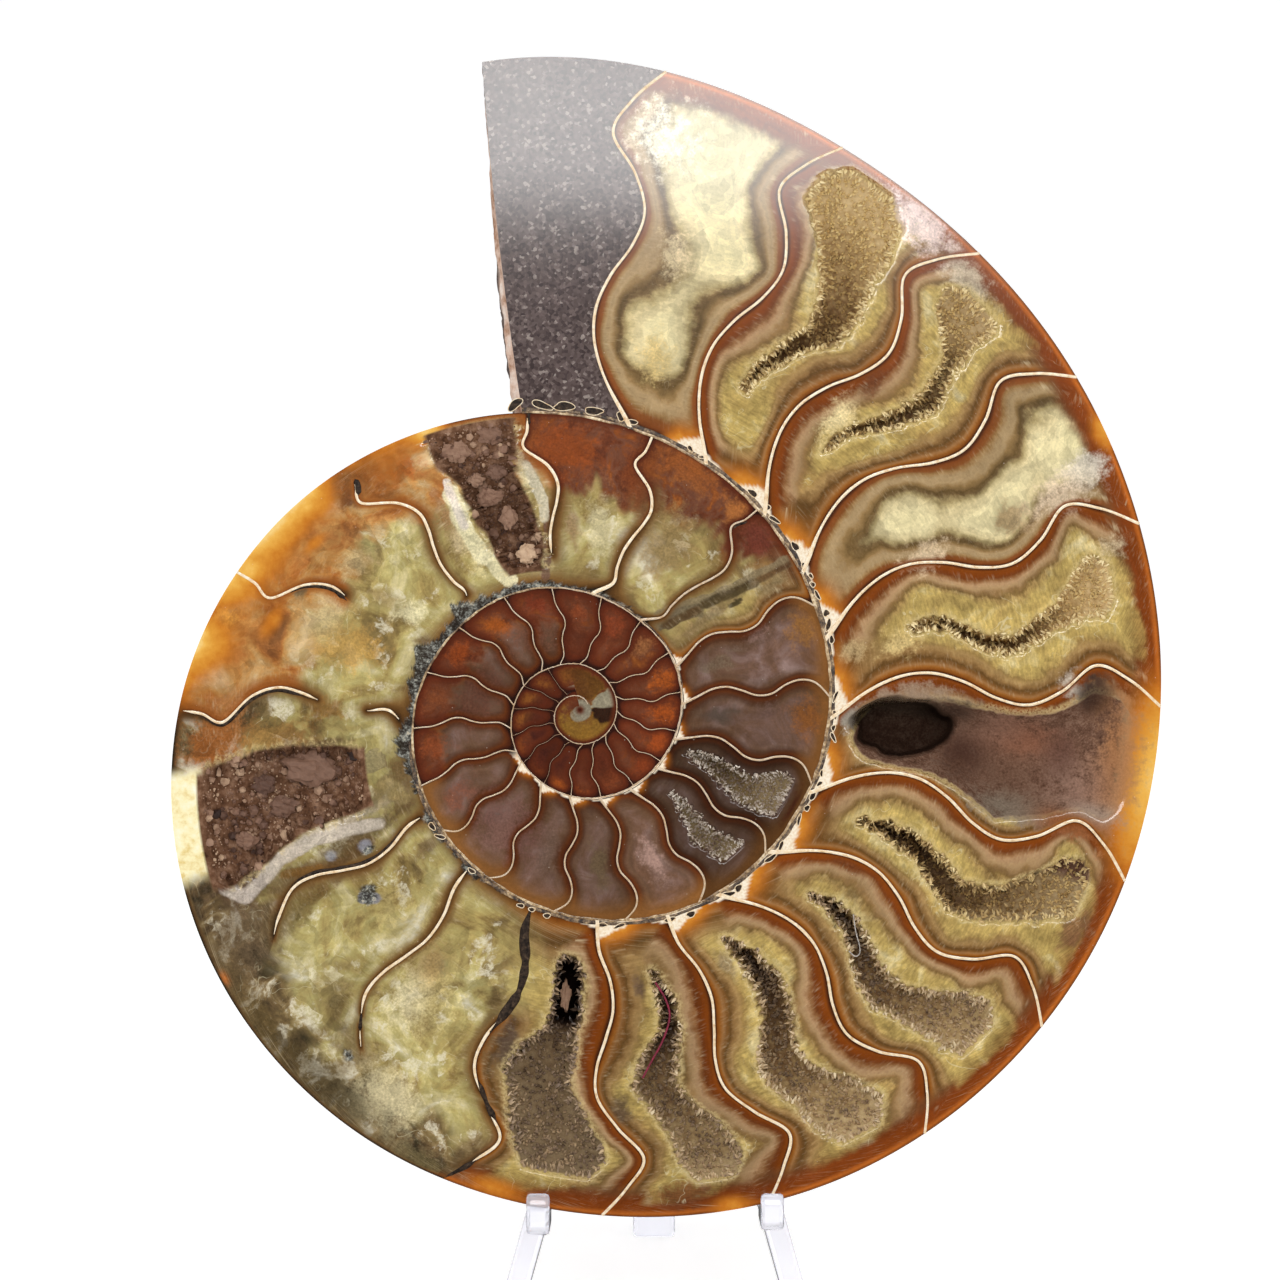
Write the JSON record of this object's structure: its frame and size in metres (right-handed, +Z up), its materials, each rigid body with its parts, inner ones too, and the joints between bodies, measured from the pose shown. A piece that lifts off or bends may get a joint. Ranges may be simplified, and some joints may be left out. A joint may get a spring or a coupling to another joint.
{
  "type": "ammonite fossil half",
  "caption": "Sawn and polished half of a coiled ammonite fossil, its chambers showing, leaning on a clear three-legged easel stand.",
  "frame": {"origin": "centre of the bounding box at the plane the stand's feet rest on", "axes": "+X to the right when the cut face is looked at, +Y from the cut face back to the rear leg, +Z up"},
  "size_m": [0.1104, 0.0604, 0.1453],
  "materials": {
    "polished_fossil": "polished on the cut face, natural on the back",
    "clear_plastic": "clear and glossy"
  },
  "bodies": {
    "root": {"fossil_half": "polished_fossil", "display_stand": "clear_plastic"}
  },
  "joints": []
}
